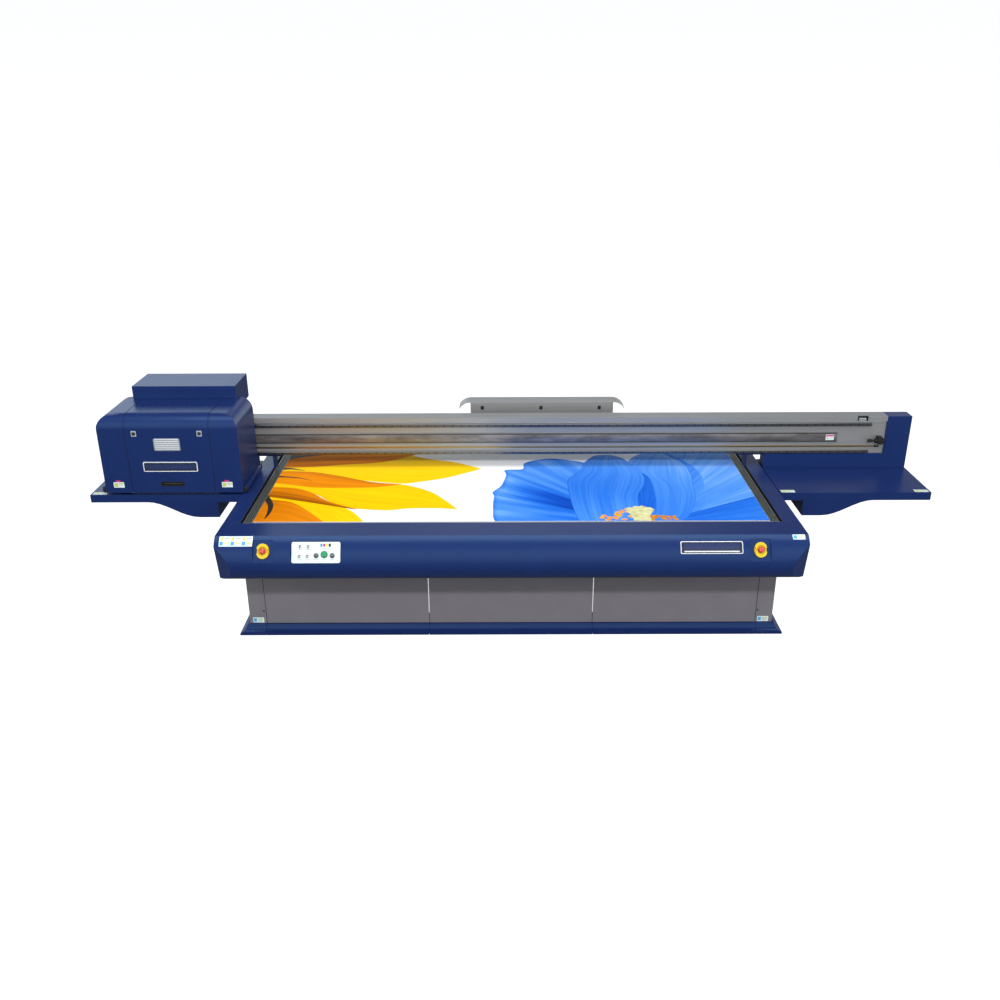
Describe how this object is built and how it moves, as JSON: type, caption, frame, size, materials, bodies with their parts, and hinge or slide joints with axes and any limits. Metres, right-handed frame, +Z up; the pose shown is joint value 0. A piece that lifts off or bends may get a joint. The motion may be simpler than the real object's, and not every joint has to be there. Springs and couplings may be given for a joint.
{
  "type": "flatbed uv printer",
  "caption": "Large flatbed UV printer: vacuum bed on a panelled base, gantry beam with wing trays, hooded print carriage with lift-up door, controls on the curved front cover.",
  "frame": {"origin": "middle of the machine's footprint on the floor", "axes": "+X to the operator's right along the gantry beam, +Y away from the operator, +Z up; the controls face -Y"},
  "size_m": [5.586, 2.5501, 1.4885],
  "materials": {
    "frame_paint": "matt powder coat",
    "zinc": "zinc plated",
    "grey_paint": "satin powder coat",
    "navy_paint": "satin powder coat, fine texture",
    "anodised": "natural anodised",
    "printed_board": "foam PVC board with a UV print",
    "rail_steel": "ground",
    "blower_metal": "painted casting",
    "panel_white": "satin overlay",
    "button_steel": "brushed",
    "button_green": "lens",
    "knob_black": "moulded",
    "guard_yellow": "moulded",
    "estop_red": "moulded",
    "buffer_black": "moulded",
    "head_black": "anodised housings"
  },
  "bodies": {
    "base": {"base_frame": "frame_paint", "levelling_foot_1": "zinc", "levelling_foot_2": "zinc", "levelling_foot_3": "zinc", "levelling_foot_4": "zinc", "front_panel_left": "grey_paint", "front_panel_centre": "grey_paint", "front_panel_right": "grey_paint", "side_panel_left": "grey_paint", "side_panel_right": "grey_paint", "rear_panel": "grey_paint", "plinth_front": "navy_paint", "plinth_rear": "navy_paint", "plinth_left": "navy_paint", "plinth_right": "navy_paint", "front_cover": "navy_paint", "rear_cover": "navy_paint", "side_cover_left": "navy_paint", "side_cover_right": "navy_paint", "vacuum_table": "anodised", "media_board": "printed_board", "bed_rail_left": "anodised", "bed_rail_right": "anodised", "y_rail_left": "rail_steel", "y_rail_right": "rail_steel", "vacuum_blower": "blower_metal", "control_panel": "panel_white", "estop_guard_left": "guard_yellow", "estop_guard_right": "guard_yellow"},
    "start_button": {"start_button": "button_green"},
    "reset_button": {"reset_button": "button_steel"},
    "stop_button": {"stop_button": "button_steel"},
    "selector_1": {"selector_1": "knob_black"},
    "selector_2": {"selector_2": "knob_black"},
    "selector_3": {"selector_3": "knob_black"},
    "selector_4": {"selector_4": "knob_black"},
    "estop_left": {"estop_button_left": "estop_red"},
    "estop_right": {"estop_button_right": "estop_red"},
    "gantry": {"gantry_beam": "anodised", "x_rail_lower": "rail_steel", "x_rail_upper": "rail_steel", "magnet_track": "rail_steel", "gantry_end_left": "navy_paint", "gantry_end_right": "navy_paint", "side_tray_left": "navy_paint", "side_tray_right": "navy_paint", "chain_carrier": "anodised", "bump_stop": "buffer_black"},
    "capping": {"capping_station": "anodised"},
    "slide": {"x_slide_plate": "anodised"},
    "carriage": {"head_carrier": "anodised", "print_heads": "head_black", "uv_lamp_left": "head_black", "uv_lamp_right": "head_black", "carriage_hood_left": "navy_paint", "carriage_hood_right": "navy_paint", "ink_box": "navy_paint"},
    "door": {"carriage_door": "navy_paint"},
    "latch_left": {"door_latch_left": "button_steel"},
    "latch_right": {"door_latch_right": "button_steel"}
  },
  "joints": [
    {"name": "gantry_travel", "type": "slide", "parent": "base", "child": "gantry", "axis": [0, 1, 0], "range_m": [-0.7, 0.85]},
    {"name": "carriage_travel", "type": "slide", "parent": "gantry", "child": "slide", "axis": [1, 0, 0], "range_m": [0, 4.25]},
    {"name": "carriage_lift", "type": "slide", "parent": "slide", "child": "carriage", "axis": [0, 0, 1], "range_m": [0, 0.06]},
    {"name": "door_hinge", "type": "hinge", "parent": "carriage", "child": "door", "pos_m": [-2.2266, -0.1313, 1.3992], "axis": [-1, 0, 0], "range_deg": [0, 70]},
    {"name": "latch_left_turn", "type": "hinge", "parent": "door", "child": "latch_left", "pos_m": [-2.4393, -0.5111, 1.2804], "axis": [0, -1, 0], "range_deg": [0, 90]},
    {"name": "latch_right_turn", "type": "hinge", "parent": "door", "child": "latch_right", "pos_m": [-2.014, -0.5111, 1.2804], "axis": [0, -1, 0], "range_deg": [0, 90]},
    {"name": "capping_lift", "type": "slide", "parent": "gantry", "child": "capping", "axis": [0, 0, 1], "range_m": [0, 0.005]},
    {"name": "estop_left_press", "type": "slide", "parent": "base", "child": "estop_left", "axis": [0, 0.8677, -0.4971], "range_m": [0, 0.006]},
    {"name": "estop_right_press", "type": "slide", "parent": "base", "child": "estop_right", "axis": [0, 0.8677, -0.4971], "range_m": [0, 0.006]},
    {"name": "start_button_press", "type": "slide", "parent": "base", "child": "start_button", "axis": [0, 0.8865, -0.4627], "range_m": [0, 0.004], "stiffness_N_per_m": 400, "springref_m": -0.003},
    {"name": "reset_button_press", "type": "slide", "parent": "base", "child": "reset_button", "axis": [0, 0.8865, -0.4627], "range_m": [0, 0.004], "stiffness_N_per_m": 400, "springref_m": -0.003},
    {"name": "stop_button_press", "type": "slide", "parent": "base", "child": "stop_button", "axis": [0, 0.8865, -0.4627], "range_m": [0, 0.004], "stiffness_N_per_m": 400, "springref_m": -0.003},
    {"name": "selector_1_turn", "type": "hinge", "parent": "base", "child": "selector_1", "pos_m": [-1.262, -1.23445, 0.81432], "axis": [0, -0.8865, 0.4627], "range_deg": [-45, 45]},
    {"name": "selector_2_turn", "type": "hinge", "parent": "base", "child": "selector_2", "pos_m": [-1.213, -1.23445, 0.81432], "axis": [0, -0.8865, 0.4627], "range_deg": [-45, 45]},
    {"name": "selector_3_turn", "type": "hinge", "parent": "base", "child": "selector_3", "pos_m": [-1.266, -1.26082, 0.76378], "axis": [0, -0.8865, 0.4627], "range_deg": [-45, 45]},
    {"name": "selector_4_turn", "type": "hinge", "parent": "base", "child": "selector_4", "pos_m": [-1.218, -1.26082, 0.76378], "axis": [0, -0.8865, 0.4627], "range_deg": [-45, 45]}
  ]
}
